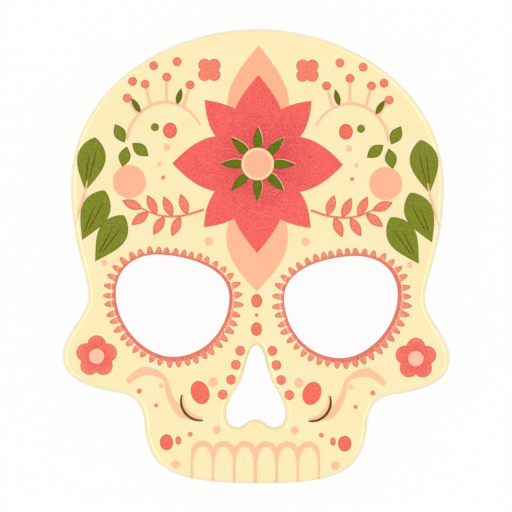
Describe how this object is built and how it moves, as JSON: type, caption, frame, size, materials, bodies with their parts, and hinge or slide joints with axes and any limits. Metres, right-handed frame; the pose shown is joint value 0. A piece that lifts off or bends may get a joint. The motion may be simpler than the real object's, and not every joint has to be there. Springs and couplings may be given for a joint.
{
  "type": "printed sugar skull plaque",
  "caption": "Flat skull-shaped confection plaque with open eyes and nose, rounded face edges and a printed floral ornament, for topping cakes and desserts.",
  "frame": {"origin": "centre of the flat back, in the middle of the plaque's width and height", "axes": "+Y from chin to crown, +Z out of the printed face, +X to the right as the face is looked at"},
  "size_m": [0.0408, 0.048, 0.0032],
  "materials": {
    "white_chocolate": "smooth satin of tempered white chocolate, off a polished mould",
    "coral_red_print": "coloured cocoa butter print, satin, finely grained",
    "coral_print": "coloured cocoa butter print, satin, finely grained",
    "salmon_print": "coloured cocoa butter print, satin, finely grained",
    "peach_print": "coloured cocoa butter print, satin, finely grained",
    "pale_peach_print": "coloured cocoa butter print, satin, finely grained",
    "cream_print": "coloured cocoa butter print, satin, finely grained",
    "olive_print": "coloured cocoa butter print, satin, finely grained",
    "leaf_green_print": "coloured cocoa butter print, satin, finely grained",
    "umber_print": "coloured cocoa butter print, satin, finely grained"
  },
  "bodies": {
    "root": {"skull_plate": "white_chocolate", "left_eye_petals": "salmon_print", "right_eye_petals": "salmon_print", "forehead_flower": "coral_red_print", "flower_star_leaves": "leaf_green_print", "flower_heart_ring": "cream_print", "flower_heart": "peach_print", "upper_pale_petal": "peach_print", "lower_pale_petal": "peach_print", "left_temple_leaf_upper": "olive_print", "right_temple_leaf_upper": "olive_print", "left_temple_leaf_middle": "olive_print", "right_temple_leaf_middle": "olive_print", "left_temple_leaf_lower": "olive_print", "right_temple_leaf_lower": "olive_print", "left_leaflet_1": "olive_print", "right_leaflet_1": "olive_print", "left_leaflet_2": "olive_print", "right_leaflet_2": "olive_print", "left_stalk_berry_1": "coral_print", "right_stalk_berry_1": "coral_print", "left_stalk_berry_2": "coral_print", "right_stalk_berry_2": "coral_print", "left_stalk_berry_3": "coral_print", "right_stalk_berry_3": "coral_print", "left_stalk_berry_4": "coral_print", "right_stalk_berry_4": "coral_print", "left_berry_vine": "pale_peach_print", "right_berry_vine": "pale_peach_print", "left_blossom": "coral_print", "right_blossom": "coral_print", "left_sun_dot": "coral_red_print", "right_sun_dot": "coral_red_print", "left_moon_dot": "peach_print", "right_moon_dot": "peach_print", "left_leaf_spray": "coral_print", "right_leaf_spray": "coral_print", "left_cheek_flower": "coral_red_print", "right_cheek_flower": "coral_red_print", "left_cheek_flower_heart": "peach_print", "right_cheek_flower_heart": "peach_print", "left_cheek_drop": "coral_red_print", "right_cheek_drop": "coral_red_print", "left_cheek_crescent": "umber_print", "right_cheek_crescent": "umber_print", "left_cheek_scroll": "pale_peach_print", "right_cheek_scroll": "pale_peach_print", "left_nose_dot_1": "coral_print", "right_nose_dot_1": "coral_print", "left_nose_dot_2": "coral_print", "right_nose_dot_2": "coral_print", "left_nose_dot_3": "coral_print", "right_nose_dot_3": "coral_print", "left_nose_dot_4": "coral_print", "right_nose_dot_4": "coral_print", "brow_dot_1": "coral_print", "brow_dot_2": "coral_print", "left_jaw_dot": "coral_red_print", "right_jaw_dot": "coral_red_print", "tooth_arches": "pale_peach_print"}
  },
  "joints": []
}
